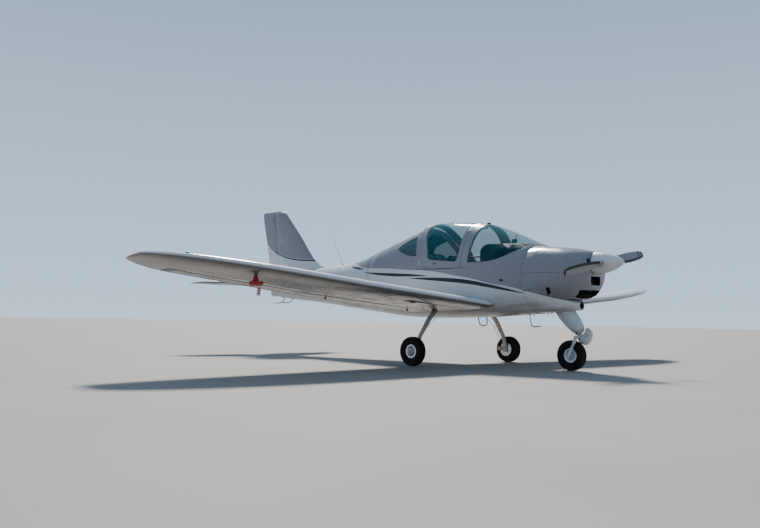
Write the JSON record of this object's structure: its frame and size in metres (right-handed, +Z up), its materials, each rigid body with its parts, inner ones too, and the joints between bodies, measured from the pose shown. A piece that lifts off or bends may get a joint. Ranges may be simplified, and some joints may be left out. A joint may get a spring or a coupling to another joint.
{
  "type": "low-wing two-seat light aircraft with fixed tricycle gear",
  "caption": "Two-seat low-wing light aircraft: hollow cabin, sliding canopy, cowled engine, propeller, hinged control surfaces and flaps, fixed legs, steered nose wheel.",
  "frame": {"origin": "on the ground under the tyres, on the centre plane, midway between the spinner's tip and the rudder's trailing edge", "axes": "+X forward, +Y to port along the span, +Z up"},
  "size_m": [7.104, 9.86, 2.466],
  "materials": {
    "white_paint": "gloss",
    "tinted_glazing": "gloss",
    "engine_metal": "cast",
    "blade_paint": "satin",
    "leg_paint": "satin",
    "wheel_metal": "satin",
    "tyre_rubber": "matte",
    "dark_trim": "matte",
    "seat_cloth": "matte",
    "bare_metal": "satin",
    "cover_cloth": "matte"
  },
  "bodies": {
    "airframe": {"fuselage_cabin": "white_paint", "rear_deck": "white_paint", "rear_window_port": "tinted_glazing", "rear_window_starboard": "tinted_glazing", "windscreen": "tinted_glazing", "windscreen_hoop": "white_paint", "cowl_upper": "white_paint", "cowl_lower": "white_paint", "belly_fairing": "white_paint", "engine_block": "engine_metal", "wing_port": "white_paint", "wing_starboard": "white_paint", "tail_cone": "white_paint", "fin": "white_paint", "tailplane_port": "white_paint", "tailplane_starboard": "white_paint", "main_leg_port": "leg_paint", "main_leg_starboard": "leg_paint", "nose_leg": "white_paint", "instrument_panel": "dark_trim", "seat_bench": "dark_trim", "seat_port": "seat_cloth", "seat_starboard": "seat_cloth", "control_stick_port": "dark_trim", "control_stick_starboard": "dark_trim", "entry_step_port": "leg_paint", "vent_tube": "bare_metal", "tail_skid": "leg_paint", "whip_antenna": "white_paint", "pitot_tube": "bare_metal", "pitot_cover": "cover_cloth", "cover_ribbon": "cover_cloth"},
    "canopy": {"canopy_frame": "white_paint", "canopy_glass": "tinted_glazing"},
    "propeller_and_spinner": {"propeller": "blade_paint", "spinner": "white_paint"},
    "wheel_port": {"main_port_rim": "wheel_metal", "main_port_tyre": "tyre_rubber"},
    "wheel_starboard": {"main_starboard_rim": "wheel_metal", "main_starboard_tyre": "tyre_rubber"},
    "steered_fork": {"nose_fork": "white_paint"},
    "wheel_nose": {"nose_rim": "wheel_metal", "nose_tyre": "tyre_rubber"},
    "rudder_body": {"rudder": "white_paint"},
    "elevator_port_body": {"elevator_port": "white_paint"},
    "elevator_starboard_body": {"elevator_starboard": "white_paint"},
    "aileron_port_body": {"aileron_port": "white_paint"},
    "aileron_starboard_body": {"aileron_starboard": "white_paint"},
    "flap_port_body": {"flap_port": "white_paint"},
    "flap_starboard_body": {"flap_starboard": "white_paint"}
  },
  "joints": [
    {"name": "propeller_spin", "type": "hinge", "parent": "airframe", "child": "propeller_and_spinner", "pos_m": [3.312, 0, 1.312], "axis": [1, 0, 0], "continuous": true},
    {"name": "wheel_port_spin", "type": "hinge", "parent": "airframe", "child": "wheel_port", "pos_m": [1.13, 1.03, 0.1875], "axis": [0, 1, 0], "continuous": true},
    {"name": "wheel_starboard_spin", "type": "hinge", "parent": "airframe", "child": "wheel_starboard", "pos_m": [1.13, -1.03, 0.1875], "axis": [0, 1, 0], "continuous": true},
    {"name": "nose_steering", "type": "hinge", "parent": "airframe", "child": "steered_fork", "pos_m": [2.948, 0, 0.45], "axis": [-0.4061, 0, 0.9138], "range_deg": [-30, 30]},
    {"name": "wheel_nose_spin", "type": "hinge", "parent": "steered_fork", "child": "wheel_nose", "pos_m": [2.84, 0, 0.1875], "axis": [0, 1, 0], "continuous": true},
    {"name": "canopy_slide", "type": "slide", "parent": "airframe", "child": "canopy", "axis": [-1, 0, 0], "range_m": [0, 0.58]},
    {"name": "rudder_hinge", "type": "hinge", "parent": "airframe", "child": "rudder_body", "pos_m": [-3.01, 0, 0.968], "axis": [-0.1263, 0, 0.992], "range_deg": [-25, 25]},
    {"name": "elevator_port_hinge", "type": "hinge", "parent": "airframe", "child": "elevator_port_body", "pos_m": [-3.225, 0.15, 1.15], "axis": [0, 1, 0], "range_deg": [-20, 25]},
    {"name": "elevator_starboard_hinge", "type": "hinge", "parent": "airframe", "child": "elevator_starboard_body", "pos_m": [-3.225, -0.15, 1.15], "axis": [0, 1, 0], "range_deg": [-20, 25]},
    {"name": "aileron_port_hinge", "type": "hinge", "parent": "airframe", "child": "aileron_port_body", "pos_m": [1.01751, 2.785, 0.92543], "axis": [-0.0421, 0.994, 0.1014], "range_deg": [-18, 18]},
    {"name": "aileron_starboard_hinge", "type": "hinge", "parent": "airframe", "child": "aileron_starboard_body", "pos_m": [1.01751, -2.785, 0.92543], "axis": [0.0421, 0.994, -0.1014], "range_deg": [-18, 18]},
    {"name": "flap_port_hinge", "type": "hinge", "parent": "airframe", "child": "flap_port_body", "pos_m": [1.00595, 0.64, 0.75541], "axis": [0.0056, 0.9969, 0.0787], "range_deg": [-35, 0]},
    {"name": "flap_starboard_hinge", "type": "hinge", "parent": "airframe", "child": "flap_starboard_body", "pos_m": [1.00595, -0.64, 0.75541], "axis": [-0.0056, 0.9969, -0.0787], "range_deg": [-35, 0]}
  ],
  "couplings": [
    {"joint": "aileron_starboard_hinge", "follows": "aileron_port_hinge", "ratio": -1},
    {"joint": "flap_starboard_hinge", "follows": "flap_port_hinge", "ratio": 1},
    {"joint": "elevator_starboard_hinge", "follows": "elevator_port_hinge", "ratio": 1}
  ]
}
